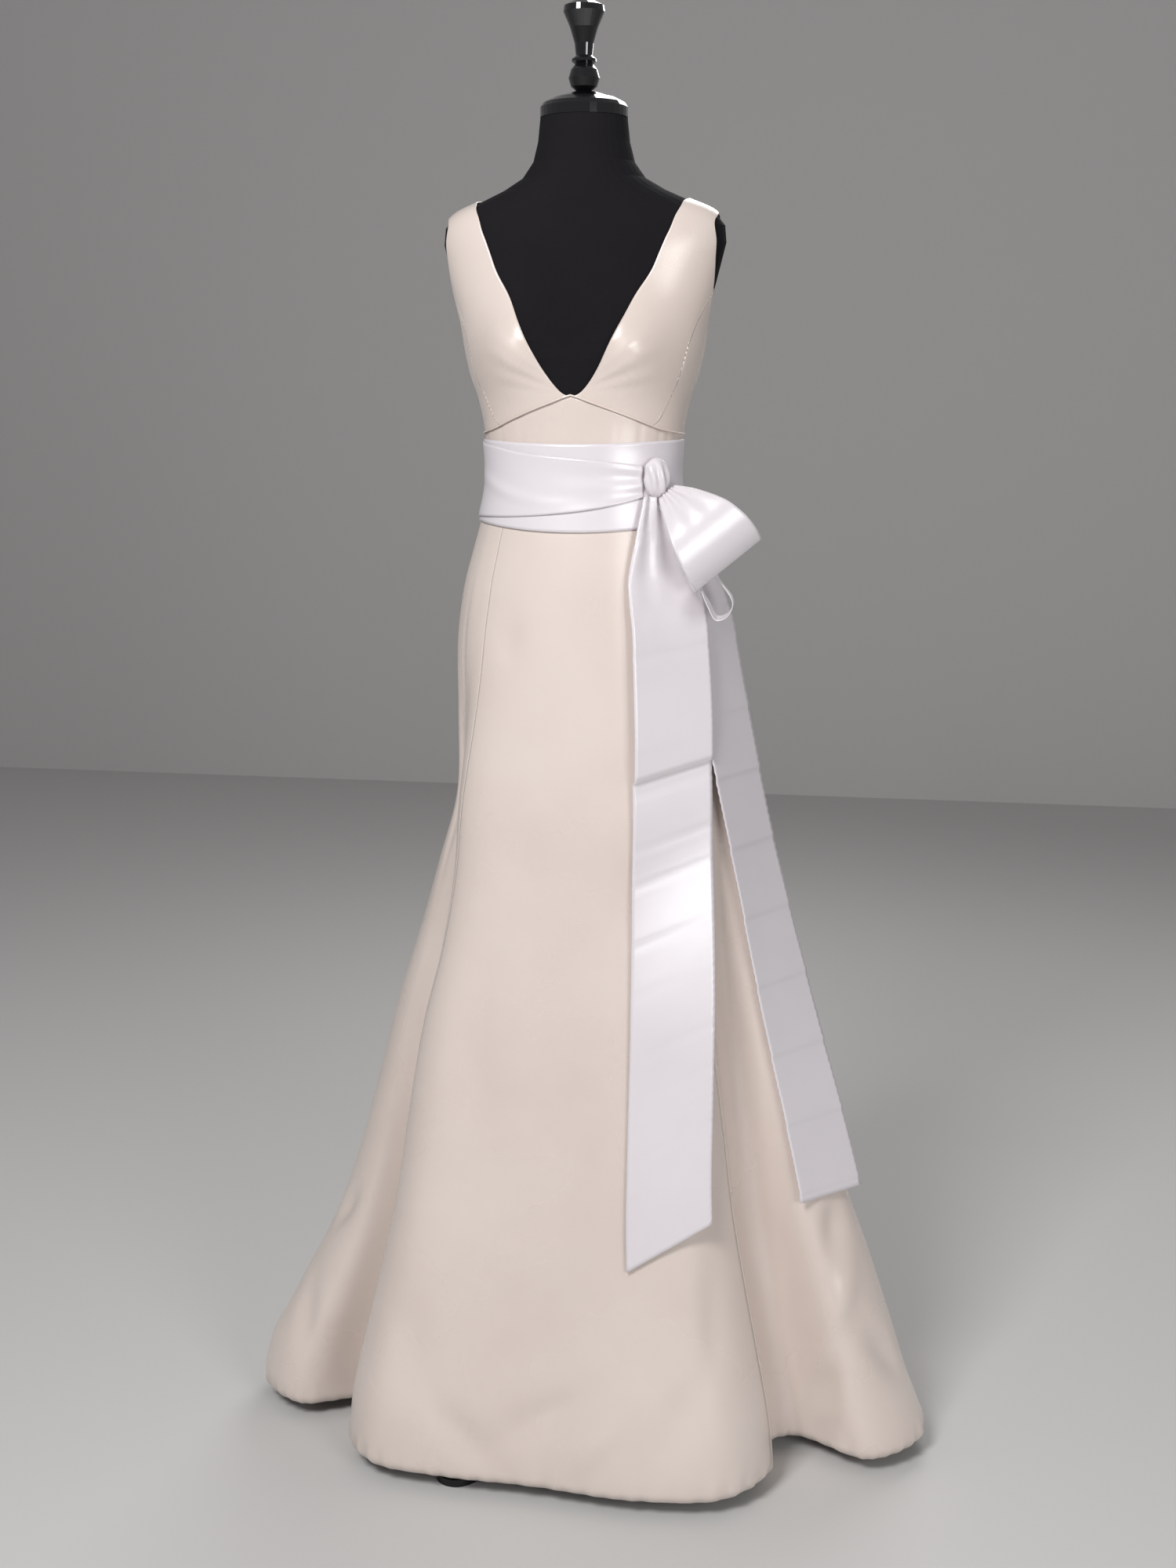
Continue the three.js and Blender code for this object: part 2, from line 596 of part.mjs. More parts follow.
// ---- dress form and stand -----------------------------------------------------------------
function lathe(name, profile, segments, material) {
  const geometry = new THREE.LatheGeometry(profile.map(({ r, z }) => new THREE.Vector2(r, z)),
    segments);
  geometry.rotateX(Math.PI / 2);
  const mesh = new THREE.Mesh(geometry, material);
  mesh.name = name;
  return mesh;
}

// The jersey torso and neck: rings on the figure, closed flat at the bottom and the top.
function torso() {
  const columns = 40;
  const heights = [
    { z: formBottom, inset: 26 }, { z: 944, inset: 15 }, { z: 975, inset: 10 },
    { z: 1030, inset: 7 }, { z: 1085, inset: 5 }, { z: 1135, inset: 3.5 },
    { z: 1180, inset: 2.5 }, { z: 1220, inset: 1.5 },
    ...[1255, 1285, 1312].map((z) => ({ z, inset: 0 })),
    ...[1340, 1365, 1388, 1410, 1430, 1450, 1472, 1495, 1520, 1545, 1568, 1588]
      .map((z) => ({ z, inset: 1.6 })),
    { z: 1604, inset: 1.4 },
    ...[1619, 1631, 1645, 1664, 1688, formTop].map((z) => ({ z, inset: 0 })),
  ];
  const positions = [];
  for (const { z, inset } of heights) {
    for (let j = 0; j < columns; j++) {
      const { point } = onFigure((j * 360) / columns, z, -inset, formCupShare);
      positions.push(point.x, point.y, z);
    }
  }
  const bottom = heights.length * columns;
  const top = bottom + 1;
  positions.push(0, 0, formBottom, 0, 0, formTop);
  const triangles = [];
  for (let j = 0; j < columns; j++) {
    const next = (j + 1) % columns;
    for (let i = 0; i < heights.length - 1; i++) {
      const a = i * columns;
      const b = a + columns;
      triangles.push(a + j, a + next, b + next, a + j, b + next, b + j);
    }
    const lid = (heights.length - 1) * columns;
    triangles.push(bottom, next, j, top, lid + j, lid + next);
  }
  return solid("form_torso", positions, triangles, jersey);
}

function formStand() {
  const rest = 0.3;
  const cap = lathe("neck_cap", [
    { r: 0, z: formTop + rest }, { r: 53.5, z: formTop + rest }, { r: 53.5, z: 1728 },
    { r: 50, z: 1733 }, { r: 38, z: 1739 }, { r: 22, z: 1744 }, { r: 11, z: 1747 },
    { r: 0, z: 1747 },
  ], 40, lacquer);
  const finial = lathe("finial", [
    { r: 0, z: 1747.3 }, { r: 10, z: 1747.3 }, { r: 16, z: 1752 }, { r: 19, z: 1762 },
    { r: 16, z: 1772 }, { r: 11, z: 1778 }, { r: 15, z: 1781 }, { r: 15, z: 1784 },
    { r: 10, z: 1788 }, { r: 11.5, z: 1802 }, { r: 17, z: 1820 }, { r: 25, z: 1838 },
    { r: 24, z: 1845 }, { r: 14, z: 1850 }, { r: 0, z: 1852 },
  ], 32, lacquer);
  const socket = lathe("pole_socket", [
    { r: poleRadius + rest, z: 890 }, { r: 26, z: 890 }, { r: 28, z: 920 },
    { r: 60, z: 924 }, { r: 60, z: formBottom - rest }, { r: poleRadius + rest, z: formBottom - rest },
    { r: poleRadius + rest, z: 890 },
  ], 32, blackSteel);
  const pole = lathe("pole", [
    { r: 0, z: 42.3 }, { r: poleRadius, z: 42.3 }, { r: poleRadius, z: formBottom - rest },
    { r: 0, z: formBottom - rest },
  ], 32, blackSteel);
  const flange = lathe("pole_flange", [
    { r: 0, z: baseThick + rest }, { r: 48, z: baseThick + rest }, { r: 46, z: 20 },
    { r: 24, z: 26 }, { r: 20, z: 42 }, { r: 0, z: 42 },
  ], 32, blackSteel);
  return [torso(), cap, finial, socket, pole, flange, crossBase()];
}

// Four flat arms with round ends, from the middle out; one points to the dress's front right.
function crossBase() {
  const arm = 26;
  const outline = new THREE.Shape();
  for (let k = 0; k < 4; k++) {
    const turn = (k * Math.PI) / 2;
    const place = (u, v) => [
      u * Math.cos(turn) - v * Math.sin(turn), u * Math.sin(turn) + v * Math.cos(turn),
    ];
    if (k === 0) outline.moveTo(...place(arm, -arm));
    outline.lineTo(...place(baseReach - arm, -arm));
    const end = place(baseReach - arm, 0);
    outline.absarc(end[0], end[1], arm, turn - Math.PI / 2, turn + Math.PI / 2);
    outline.lineTo(...place(arm, arm));
  }
  const plate = new THREE.ExtrudeGeometry(outline, {
    depth: baseThick, curveSegments: 8, bevelEnabled: false,
  });
  plate.rotateZ(radians(230.3));
  const mesh = new THREE.Mesh(plate, blackSteel);
  mesh.name = "stand_base";
  return mesh;
}

const group = new THREE.Group();
group.add(...formStand(), ...bodice(), ...midriff(), ...skirt(), ...sash(), ...tails(), ...bow());
export default group;
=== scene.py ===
# The looks of the wedding dress on its form: satin panels, ribbon sash, bow, tails and finishes.
# Metres, +Z up, the dress faces -Y; the cloth lies on the forms of the CAD solids it replaces.
import math
import bpy
import numpy as np
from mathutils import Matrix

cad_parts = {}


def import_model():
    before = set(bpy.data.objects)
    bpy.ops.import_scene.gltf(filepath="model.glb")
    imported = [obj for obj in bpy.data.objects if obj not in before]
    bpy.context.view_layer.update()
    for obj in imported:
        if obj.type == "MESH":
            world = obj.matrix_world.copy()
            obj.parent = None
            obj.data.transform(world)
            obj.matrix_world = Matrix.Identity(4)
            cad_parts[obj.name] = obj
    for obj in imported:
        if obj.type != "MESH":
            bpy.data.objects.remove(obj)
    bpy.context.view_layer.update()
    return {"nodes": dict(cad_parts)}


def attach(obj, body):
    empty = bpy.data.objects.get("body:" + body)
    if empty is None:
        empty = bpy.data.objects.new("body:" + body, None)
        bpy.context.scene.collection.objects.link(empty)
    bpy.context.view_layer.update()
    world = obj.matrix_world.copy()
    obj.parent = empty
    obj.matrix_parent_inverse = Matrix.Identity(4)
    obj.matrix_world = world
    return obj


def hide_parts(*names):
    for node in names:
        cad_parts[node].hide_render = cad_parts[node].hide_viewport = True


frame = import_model()

MM = 0.001
CLOTH_WALL = 1.6
RIBBON_WALL = 1.0
FORM_GAP = 0.8                    # clear room between the layers, from the form outward
SASH_GAP = 1.4
LAYER_GAP = 0.5
TAIL_GAP = 0.8
TAIL_WAVE = 0.8
CLOTH_OUT = FORM_GAP + CLOTH_WALL
BAND_OUT = CLOTH_OUT + SASH_GAP + RIBBON_WALL
WRAP_OUT = BAND_OUT + LAYER_GAP + RIBBON_WALL
WAIST_SEAM = 1285
SIDE_TURN = 97
RIBBON_WIDTH = 106
SIDE_TAIL_END = 372
FRONT_TAIL_ENDS = (316, 380)      # the inner and the outer corner of the slanting cut
SEAM_GAP = 0.3

# ---- the figure and the skirt, as the CAD part works them out, in millimetres ----------------
FIGURE = {
    "z": (20, 880, 1000, 1067, 1108, 1156, 1206, 1235, 1285, 1345, 1385, 1410, 1440, 1475, 1510,
          1545, 1570, 1590, 1606, 1620, 1632, 1645, 1662, 1688, 1716),
    "side": (161, 161, 161, 161, 158, 150, 136, 128, 119, 123, 131, 140, 147, 153, 162,
             171, 177, 174, 158, 125, 98, 76, 63, 56, 53),
    "front": (104, 104, 104, 104, 102, 98, 92, 88, 82, 83, 86, 88, 89, 88, 85,
              80, 76, 72, 69, 67, 65, 63, 60, 56, 53),
    "back": (116, 116, 120, 122, 118, 109, 96, 88, 80, 83, 87, 90, 92, 95, 97,
             95, 91, 87, 82, 77, 73, 68, 62, 56, 53),
}
CUP = {"z": 1442, "x": 74, "reach": 46, "rise": 44, "depth": 25}
FLARE = {
    "z": (20, 50, 110, 190, 280, 370, 490, 600, 690, 790, 885, 990, 1060, 1130),
    "front": (1, 1, .96, .86, .745, .64, .54, .435, .31, .21, .16, .07, .02, 0),
    "left": (1, .98, .905, .82, .72, .61, .49, .375, .295, .225, .155, .075, .025, 0),
    "right": (1, 1, .94, .79, .63, .515, .4, .3, .2, .1, .01, 0, 0, 0),
    "back": (1, .97, .89, .78, .66, .54, .4, .28, .19, .1, .03, 0, 0, 0),
}
# turn on the hips, plan place at the hem, and which flare the fold follows
FOLDS = (
    (-180, 0, 486, "back"), (-169, -92, 522, "back"), (-158, -178, 462, "back"),
    (-147, -262, 448, "back"), (-136, -330, 338, "back"), (-124, -306, 236, "back"),
    (-113, -352, 178, "right"), (-101, -436, 92, "right"), (-90, -455, -4, "right"),
    (-76, -388, -62, "right"), (-60, -300, -30, "right"), (-50, -272, -66, "front"),
    (-43, -290, -140, "front"), (-33, -246, -196, "front"), (-18, -150, -212, "front"),
    (0, -24, -215, "front"), (18, 102, -225, "front"), (33, 217, -201, "front"),
    (43, 268, -124, "front"), (50, 254, -60, "front"), (60, 288, -26, "left"),
    (76, 390, -70, "left"), (90, 460, 2, "left"), (101, 436, 96, "left"),
    (113, 348, 182, "left"), (124, 300, 244, "back"), (136, 318, 342, "back"),
    (147, 256, 440, "back"), (158, 170, 452, "back"), (169, 86, 514, "back"),
)


def read(table, key, place, column):
    """Smooth reading of a column, rising through its rows."""
    keys, values = table[key], table[column]
    if place <= keys[0]:
        return values[0]
    if place >= keys[-1]:
        return values[-1]
    i = int(np.searchsorted(keys, place, side="right")) - 1

    def slope(k):
        a, b = max(k - 1, 0), min(k + 1, len(keys) - 1)
        return (values[b] - values[a]) / (keys[b] - keys[a])

    span = keys[i + 1] - keys[i]
    u = (place - keys[i]) / span
    rise = u * u * (3 - 2 * u)
    blend = values[i] * (1 - rise) + values[i + 1] * rise
    return blend + span * u * (1 - u) * (slope(i) * (1 - u) - slope(i + 1) * u)


def bell(distance, reach):
    return math.exp(-((distance / reach) ** 2))


def figure_spot(turn, z):
    s, c = math.sin(math.radians(turn)), math.cos(math.radians(turn))
    x = read(FIGURE, "z", z, "side") * s
    depth = read(FIGURE, "z", z, "front" if c > 0 else "back")
    bust = bell(abs(x) - CUP["x"], CUP["reach"]) * bell(z - CUP["z"], CUP["rise"])
    swell = CUP["depth"] * bust * min(1, c * 2.5) if c > 0 else 0
    return np.array((x, -depth * c - swell, z))


def on_figure(turn, z, out):
    across = figure_spot(turn + 0.5, z) - figure_spot(turn - 0.5, z)
    up = figure_spot(turn, z + 0.5) - figure_spot(turn, z - 0.5)
    normal = np.cross(across, up)
    normal /= np.linalg.norm(normal)
    return figure_spot(turn, z) + normal * out, normal


def curve_point(corners, u):
    """A point of a centripetal Catmull-Rom curve, between its two middle corners."""
    p0, p1, p2, p3 = corners
    d0, d1, d2 = (max(1e-4, math.sqrt(np.linalg.norm(b - a)))
                  for a, b in ((p0, p1), (p1, p2), (p2, p3)))
    m1 = ((p1 - p0) / d0 - (p2 - p0) / (d0 + d1) + (p2 - p1) / d1) * d1
    m2 = ((p2 - p1) / d1 - (p3 - p1) / (d1 + d2) + (p3 - p2) / d2) * d1
    return (p1 * (2 * u**3 - 3 * u**2 + 1) + m1 * (u**3 - 2 * u**2 + u)
            + p2 * (3 * u**2 - 2 * u**3) + m2 * (u**3 - u**2))


def smooth_path(points, count):
    """A smooth curve through the points, with the ends carried on straight."""
    points = [np.array(p, float) for p in points]
    points = [2 * points[0] - points[1]] + points + [2 * points[-1] - points[-2]]
    spans = len(points) - 3
    path = []
    for k in range(count + 1):
        place = min(k / count * spans, spans - 1e-6)
        i, u = int(place), place - int(place)
        path.append(curve_point(points[i:i + 4], u))
    return np.array(path)


# ---- meshes from grids ----------------------------------------------------------------------
def sheet_mesh(name, points, wall, material):
    """A thin shell from a grid of outer points: rows run up, columns to the wearer's left."""
    rows, cols = len(points), len(points[0])
    verts = [tuple(p * MM) for row in points for p in row]
    faces = [(i * cols + j, i * cols + j + 1, (i + 1) * cols + j + 1, (i + 1) * cols + j)
             for i in range(rows - 1) for j in range(cols - 1)]
    mesh = bpy.data.meshes.new(name)
    mesh.from_pydata(verts, [], faces)
    layer = mesh.uv_layers.new(name="UVMap")
    for polygon in mesh.polygons:
        for k in polygon.loop_indices:
            v = mesh.loops[k].vertex_index
            layer.data[k].uv = ((v % cols) / (cols - 1), (v // cols) / (rows - 1))
    mesh.shade_smooth()
    obj = bpy.data.objects.new(name, mesh)
    bpy.context.scene.collection.objects.link(obj)
    thick = obj.modifiers.new("wall", "SOLIDIFY")
    thick.thickness = wall * MM
    thick.offset = -1
    mesh.materials.append(material)
    return obj


def trimmed(points):
    """The grid with its edges drawn back by half a seam."""
    grid = [list(row) for row in points]

    def back(end, nearby):
        step = nearby - end
        length = np.linalg.norm(step)
        return end + step * min(0.45, SEAM_GAP / 2 / max(length, 1e-6))

    for row in grid:
        row[0], row[-1] = back(row[0], row[1]), back(row[-1], row[-2])
    grid[0] = [back(a, b) for a, b in zip(grid[0], grid[1])]
    grid[-1] = [back(a, b) for a, b in zip(grid[-1], grid[-2])]
    return grid


def shares(count):
    return [i / count for i in range(count + 1)]


def mix(a, b, u):
    return a + (b - a) * u


def mirrored(points):
    return [[p * np.array((-1, 1, 1)) for p in reversed(row)] for row in points]


def grid_area(points):
    total = 0.0
    for low, high in zip(points, points[1:]):
        for j in range(len(low) - 1):
            total += 0.5 * np.linalg.norm(np.cross(high[j + 1] - low[j], high[j] - low[j + 1]))
    return total * MM * MM


def cut_size(points):
    """The flat cut of a fitted panel: its widest row, its longest column and its area."""
    def run(line):
        return sum(np.linalg.norm(b - a) for a, b in zip(line, line[1:]))

    width = max(run(row) for row in points)
    length = max(run(column) for column in zip(*points))
    return width * MM, length * MM, grid_area(points)


def declare(obj, points, node):
    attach(obj, "root")
    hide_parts(node)
    width, length, area = cut_size(points)
    area = min(area, width * length)


# ---- materials ------------------------------------------------------------------------------
def cloth_material(name, colour, shade, roughness, weave, bump):
    """Satin: a soft sheen over a fine weave, with slow changes of tone."""
    material = bpy.data.materials.new(name)
    material.use_nodes = True
    tree = material.node_tree
    shader = tree.nodes["Principled BSDF"]
    shader.inputs["Sheen Weight"].default_value = 0.15
    shader.inputs["Sheen Roughness"].default_value = 0.4
    shader.inputs["Specular IOR Level"].default_value = 0.9
    place = tree.nodes.new("ShaderNodeTexCoord")
    cloud = tree.nodes.new("ShaderNodeTexNoise")
    cloud.inputs["Scale"].default_value = 5.0
    cloud.inputs["Detail"].default_value = 3.0
    tree.links.new(place.outputs["Object"], cloud.inputs["Vector"])
    ramp = tree.nodes.new("ShaderNodeValToRGB")
    ramp.color_ramp.elements[0].position = 0.35
    ramp.color_ramp.elements[0].color = (*shade, 1)
    ramp.color_ramp.elements[1].position = 0.65
    ramp.color_ramp.elements[1].color = (*colour, 1)
    tree.links.new(cloud.outputs["Fac"], ramp.inputs["Fac"])
    tree.links.new(ramp.outputs["Color"], shader.inputs["Base Color"])
    rough = tree.nodes.new("ShaderNodeMapRange")
    rough.inputs["To Min"].default_value = roughness - 0.04
    rough.inputs["To Max"].default_value = roughness + 0.05
    tree.links.new(cloud.outputs["Fac"], rough.inputs["Value"])
    tree.links.new(rough.outputs["Result"], shader.inputs["Roughness"])
    threads = tree.nodes.new("ShaderNodeTexNoise")
    threads.inputs["Scale"].default_value = weave
    threads.inputs["Detail"].default_value = 2.0
    tree.links.new(place.outputs["Object"], threads.inputs["Vector"])
    relief = tree.nodes.new("ShaderNodeBump")
    relief.inputs["Strength"].default_value = bump
    relief.inputs["Distance"].default_value = 0.0004
    tree.links.new(threads.outputs["Fac"], relief.inputs["Height"])
    tree.links.new(relief.outputs["Normal"], shader.inputs["Normal"])
    return material


def plain_material(name, colour, roughness, coat=0.0, metallic=0.0):
    material = bpy.data.materials.new(name)
    material.use_nodes = True
    shader = material.node_tree.nodes["Principled BSDF"]
    shader.inputs["Base Color"].default_value = (*colour, 1)
    shader.inputs["Roughness"].default_value = roughness
    shader.inputs["Coat Weight"].default_value = coat
    shader.inputs["Metallic"].default_value = metallic
    return material


satin = cloth_material("gown_satin", (0.74, 0.645, 0.59), (0.70, 0.60, 0.545), 0.27, 900, 0.25)
ribbon = cloth_material("sash_ribbon", (0.76, 0.715, 0.745), (0.73, 0.685, 0.715), 0.25, 1200, 0.2)
jersey = cloth_material("form_jersey", (0.009, 0.008, 0.010), (0.006, 0.005, 0.007), 0.9,
                        700, 0.6)
jersey_shader = jersey.node_tree.nodes["Principled BSDF"]
jersey_shader.inputs["Sheen Weight"].default_value = 0.0
jersey_shader.inputs["Specular IOR Level"].default_value = 0.2
lacquer = plain_material("cap_lacquer", (0.004, 0.004, 0.005), 0.08, coat=1.0)
steel = plain_material("stand_steel", (0.007, 0.007, 0.008), 0.35, metallic=0.2)

# ---- bodice ---------------------------------------------------------------------------------
NECKLINE = ((0.3, 1387), (15.5, 1445), (24.3, 1485), (28.4, 1510), (33.8, 1535), (38.7, 1575),
            (46, 1599), (60, 1612), (90, 1619))
PRINCESS = ((48, 1352), (57, 1388), (62, 1417), (64.5, 1453), (69, 1478), (80, 1514))
FRONT_ARMHOLE = ((80, 1514), (74, 1540), (69, 1567), (69, 1590), (90, 1604))
SIDE_SEAM = ((SIDE_TURN, 1340), (SIDE_TURN, 1440))
BACK_ARMHOLE = ((SIDE_TURN, 1440), (106, 1470), (115, 1515), (119, 1560), (113, 1590), (90, 1604))
CENTRE_BACK = ((180, 1338), (180, 1425))
BACK_NECKLINE = ((180, 1425), (165, 1472), (151, 1520), (142, 1568), (133, 1597), (118, 1612),
                 (90, 1619))
MIDRIFF_SEAM = {"turn": (0, 43, 57, 90, 180), "z": (1387, 1354, 1346, 1340, 1338)}


def along(edge, count):
    """Places spaced along an edge by its length."""
    fine = smooth_path([(turn, z) for turn, z in edge], 16 * len(edge))
    spots = list(fine)
    lengths = [np.hypot(*((b - a) * (2.4, 1))) for a, b in zip(spots, spots[1:])]
    ends = np.concatenate(([0], np.cumsum(lengths)))
    marks = np.linspace(0, ends[-1], count + 1)
    return [(np.interp(m, ends, [s[0] for s in spots]), np.interp(m, ends, [s[1] for s in spots]))
            for m in marks]


def cup_tucks(turn, z):
    """Soft tucks that fan from the point of the V over each cup."""
    dx, dz = abs(turn) * 2.2, z - 1387
    distance = math.hypot(dx, dz)
    if distance < 4 or distance > 120:
        return 0
    angle = math.degrees(math.atan2(dz, dx))
    fade = math.sin(math.pi * min(1, distance / 120)) ** 1.2
    tucks = ((22, 1.5, 5), (36, 1.0, 4), (47, 1.3, 5), (8, 0.7, 4))
    return fade * sum(-depth * bell(angle - at, reach) for at, depth, reach in tucks)


def between(left, right, cols, out, scoop=0, relief=None):
    grid = []
    for i, (a, b) in enumerate(zip(left, right)):
        row = []
        for u in shares(cols):
            dip = scoop * math.sin(math.pi * u) * (i / (len(left) - 1)) ** 2
            turn, z = mix(a[0], b[0], u), mix(a[1], b[1], u) - dip
            low = (1 - i / (len(left) - 1)) ** 6
            z += low * (read(MIDRIFF_SEAM, "turn", min(turn, 180), "z") - z)
            lift = relief(turn, z) if relief else 0
            row.append(on_figure(turn, z, out + lift)[0])
        grid.append(row)
    return grid


def build_bodice():
    princess = along(PRINCESS, 36)
    front_outer = princess + along(FRONT_ARMHOLE, 42)[1:]
    back_outer = along(SIDE_SEAM, 16) + along(BACK_ARMHOLE, 48)[1:]
    back_inner = along(CENTRE_BACK, 16) + along(BACK_NECKLINE, 48)[1:]
    pieces = {
        "front": between(along(NECKLINE, 78), front_outer, 44, CLOTH_OUT, relief=cup_tucks),
        "side": between(princess, along(SIDE_SEAM, 36), 20, CLOTH_OUT, scoop=9),
        "back": between(back_outer, back_inner, 44, CLOTH_OUT),
    }
    for piece, points in pieces.items():
        for side, grid in (("left", points), ("right", mirrored(points))):
            node = f"bodice_{piece}_{side}"
            obj = sheet_mesh(f"{node}_satin", trimmed(grid), CLOTH_WALL, satin)
            declare(obj, grid, node)


def midriff_wrinkle(turn, v):
    """Fine upright wrinkles in the snug midriff."""
    wrinkles = ((-70, .7, 2.2), (-48, .5, 1.8), (-31, .6, 2.6), (-12, .4, 2), (9, .5, 2.2),
                (26, .4, 1.6), (41, .7, 2.4), (55, .9, 1.8), (63, 1, 1.6), (72, .8, 2.2),
                (112, .5, 3), (131, .6, 2.6), (158, .5, 3), (201, .6, 3), (229, .5, 2.6))
    return -sum(depth * bell(turn - at, reach) for at, depth, reach in wrinkles) * (0.3 + 0.7 * v)


def midriff_grid(start, end, cols):
    grid = []
    for v in shares(20):
        row = []
        for u in shares(cols):
            turn = mix(start, end, u)
            place = abs(turn) if abs(turn) <= 180 else 360 - abs(turn)
            top = read(MIDRIFF_SEAM, "turn", place, "z")
            row.append(on_figure(turn, mix(WAIST_SEAM, top, v),
                                 CLOTH_OUT + midriff_wrinkle(turn, v) * 0.7)[0])
        grid.append(row)
    return grid


def build_midriff():
    pieces = {
        "midriff_front": midriff_grid(-SIDE_TURN, SIDE_TURN, 150),
        "midriff_back_left": midriff_grid(SIDE_TURN, 180, 60),
        "midriff_back_right": midriff_grid(180, 360 - SIDE_TURN, 60),
    }
    for node, points in pieces.items():
        obj = sheet_mesh(f"{node}_satin", trimmed(points), CLOTH_WALL, satin)
        declare(obj, points, node)


# ---- skirt ----------------------------------------------------------------------------------
PER_FOLD = 10
# Creases and soft dents: turn, middle height, half height, half turn, depth and lean in degrees
CREASES = (
    (-66, 1010, 90, 2.2, 2.0, 6), (-72, 900, 120, 2.6, 2.6, 4), (-27, 1085, 26, 7, 2.2, 0),
    (16, 905, 45, 9, 2.4, 8), (-14, 820, 60, 8, 2.0, -6), (20, 760, 60, 7, 2.4, 10),
    (-20, 545, 90, 6, 2.6, -8), (6, 430, 80, 7, 2.2, 6), (-6, 250, 60, 8, 3.2, 10),
    (-26, 180, 60, 5, 3.5, -6), (2, 120, 40, 5, 5.5, 12), (11, 95, 45, 3, -4.0, 10),
    (-14, 85, 40, 4, 5.0, -10), (26, 130, 55, 3, 4.5, 6), (34, 240, 70, 2.5, 3.0, 2),
    (82, 330, 30, 3, 5.0, 4), (79, 240, 40, 3, -4.0, 8), (86, 150, 40, 3, 6.0, -6),
    (70, 110, 40, 3, 4.5, 6), (-84, 300, 26, 3, 6.0, 4), (-80, 150, 45, 3, 5.0, -8),
    (-95, 120, 40, 3, 4.0, 6), (110, 420, 90, 3, 3.0, 4), (140, 260, 80, 4, 4.0, -4),
    (168, 500, 110, 3, 3.0, 3), (-110, 380, 90, 3, 3.0, -4), (-140, 300, 80, 4, 4.0, 4),
    (-168, 180, 60, 3, 4.5, 3), (150, 110, 40, 3, 5.0, 8), (-152, 100, 40, 3, 5.0, -8),
    (177, 860, 60, 3, 1.5, 0), (-120, 860, 70, 4, 1.6, 5), (121, 900, 70, 4, 1.6, -5),
)
SKIRT_SEAMS = (("skirt_back_right", -180, -147), ("skirt_side_back_right", -147, -101),
               ("skirt_side_front_right", -101, -43), ("skirt_front", -43, 43),
               ("skirt_side_front_left", 43, 101), ("skirt_side_back_left", 101, 147),
               ("skirt_back_left", 147, 180))


def ring(z):
    """One level of the skirt: a closed curve through the folds at that height."""
    spots = []
    for turn, x, y, kind in FOLDS:
        hip = on_figure(turn, max(z, 880), CLOTH_OUT)[0][:2]
        spots.append(mix(hip, np.array((x, y), float), read(FLARE, "z", z, kind)))
    count = len(spots)
    points = []
    for i in range(count):
        corners = [spots[(i + k) % count] for k in (-1, 0, 1, 2)]
        points += [curve_point(corners, k / PER_FOLD) for k in range(PER_FOLD)]
    return np.array(points)


def column_turns():
    turns = [fold[0] for fold in FOLDS] + [180]
    return [mix(turns[i], turns[i + 1], k / PER_FOLD)
            for i in range(len(FOLDS)) for k in range(PER_FOLD)]


def crease(turn, z):
    total = 0
    for at, middle, half, reach, depth, lean in CREASES:
        rise = (z - middle) / half
        total -= depth * bell(turn - at - lean * rise * 0.5, reach) * bell(rise, 1)
    return total


def skirt_grid():
    heights = np.concatenate((np.linspace(20, 60, 11), np.linspace(70, 1130, 96),
                              np.linspace(1140, WAIST_SEAM, 14)))
    rings = np.array([np.column_stack((ring(z), np.full(len(FOLDS) * PER_FOLD, z)))
                      for z in heights])
    across = np.roll(rings, -1, axis=1) - np.roll(rings, 1, axis=1)
    up = np.gradient(rings, axis=0)
    normals = np.cross(across, up)
    normals /= np.linalg.norm(normals, axis=2, keepdims=True)
    turns = column_turns()
    for i, z in enumerate(heights):
        under = 9 * max(0, (34 - z) / 14) ** 2
        for j, turn in enumerate(turns):
            pucker = 1.6 * math.sin(turn * 1.9 + 2 * math.sin(turn * 0.31)) * bell(z - 34, 16)
            flat = normals[i, j] * (1.5 * crease(turn, z) + 1.4 * pucker)
            inward = normals[i, j] * (1, 1, 0) * under
            rings[i, j] += flat - inward
    return rings


def build_skirt():
    rings = skirt_grid()
    turns = [fold[0] for fold in FOLDS] + [180]
    count = len(FOLDS) * PER_FOLD
    for node, start, end in SKIRT_SEAMS:
        first, last = turns.index(start) * PER_FOLD, turns.index(end) * PER_FOLD
        points = [[row[j % count] for j in range(first, last + 1)] for row in rings]
        obj = sheet_mesh(f"{node}_satin", trimmed(points), CLOTH_WALL, satin)
        declare(obj, points, node)
    return rings


# ---- sash, tails and bow --------------------------------------------------------------------
WRAP_EDGES = {
    "turn": (-97, -55, -30, 0, 25, 43),
    "top": (1332, 1326, 1318, 1312, 1307, 1303),
    "bottom": (1236, 1238, 1240, 1246, 1255, 1264),
}
SIDE_TAIL = {"z": (370, 620, 835, 1100, 1170, 1264), "yaw": (47, 57, 65, 63, 58, 50),
             "at": (204, 135, 80, 58, 57, 48), "width": (*(RIBBON_WIDTH,) * 4, 78, 34)}
FRONT_TAIL = {"z": (290, 400, 620, 835, 1100, 1170, 1266), "yaw": (11, 11, 19, 30, 38, 37, 36),
              "at": (104, 103, 84, 62, 46, 44, 43), "width": (*(RIBBON_WIDTH,) * 5, 92, 34)}
# Where the ribbon was folded in its packet: height and depth of each faint crease.
PACKET_FOLDS = ((1072, 0.9), (905, 0.5), (835, 0.5), (790, 0.5), (716, 0.9), (655, 0.5),
                (580, 0.8), (525, 0.6), (452, 0.8), (392, 0.4))


def band_edges(turn):
    lift = math.sin(math.radians(min(abs(turn), 90))) ** 2
    return mix(1222, 1232, lift), mix(1329, 1334, lift)


